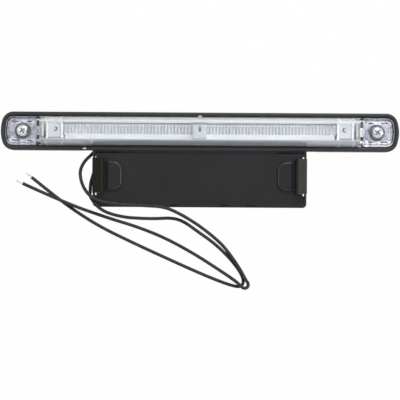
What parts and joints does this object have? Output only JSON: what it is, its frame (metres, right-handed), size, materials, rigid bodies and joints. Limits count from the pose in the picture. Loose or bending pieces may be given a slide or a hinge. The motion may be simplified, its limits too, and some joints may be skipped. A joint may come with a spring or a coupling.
{
  "type": "marker lamp",
  "caption": "Long flat vehicle marker lamp: clear ribbed light bar screwed into an oval black plastic tray with a snap-in mounting plate, and loose supply wires with bare ends.",
  "frame": {"origin": "centre of the bracket's outline, on the plane of its back", "axes": "+X along the lamp, +Y from the plate's foot to the lamp, +Z out of the lens, the way the light leaves"},
  "size_m": [0.238, 0.1072, 0.018],
  "materials": {
    "black_plastic": "moulded black, satin",
    "clear_lens": "clear moulded plastic, polished",
    "white_plastic": "moulded white, satin",
    "light_guide": "clear acrylic, fluted front",
    "board_laminate": "white solder mask",
    "dark_laminate": "dark solder mask",
    "led_package": "pale yellow phosphor",
    "chip_black": "moulded chip body",
    "gland_rubber": "matte black sealing rubber",
    "wire_cover": "soft black insulation, satin",
    "tinned_strand": "tinned copper strands",
    "zinc_steel": "zinc plated"
  },
  "bodies": {
    "root": {"bracket": "black_plastic", "lens": "clear_lens", "lamp_base": "white_plastic", "fixing_screws": "zinc_steel", "reflector": "white_plastic", "light_guide_left": "light_guide", "light_guide_right": "light_guide", "light_guide_clip": "white_plastic", "end_holder_left": "white_plastic", "end_holder_right": "white_plastic", "circuit_board": "board_laminate", "led_board_left": "dark_laminate", "led_board_right": "dark_laminate", "led_left": "led_package", "led_right": "led_package", "driver_chip": "chip_black", "protection_diode": "chip_black", "resistors": "chip_black", "cable_gland": "gland_rubber", "supply_wire": "wire_cover", "supply_wire_end": "tinned_strand", "return_wire": "wire_cover", "return_wire_end": "tinned_strand"}
  },
  "joints": []
}
